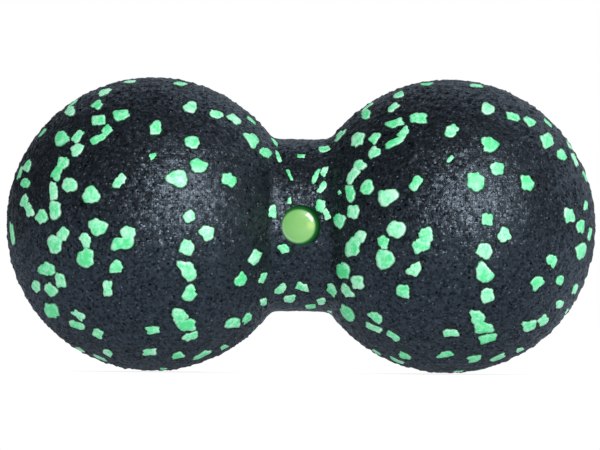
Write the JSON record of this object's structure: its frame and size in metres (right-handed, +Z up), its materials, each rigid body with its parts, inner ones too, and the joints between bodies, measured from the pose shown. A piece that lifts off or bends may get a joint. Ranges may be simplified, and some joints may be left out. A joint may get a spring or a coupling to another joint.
{
  "type": "peanut massage ball",
  "caption": "Peanut-shaped foam massage ball: round lobes joined by a short waist, charcoal with green flecks and a small round badge.",
  "frame": {"origin": "middle of the waist, halfway between the centres of the two lobes, on the long axis", "axes": "+X along the long axis from lobe to lobe, -Y out through the badge, +Z up"},
  "size_m": [0.2406, 0.12, 0.12],
  "materials": {
    "charcoal_foam": "matt moulded bead foam, fine rough grain",
    "green_foam": "matt moulded bead foam, mint green",
    "badge_face": "clear glossy dome over plain green"
  },
  "bodies": {
    "root": {"foam_body": "charcoal_foam", "green_beads": "green_foam", "badge": "badge_face"}
  },
  "joints": []
}
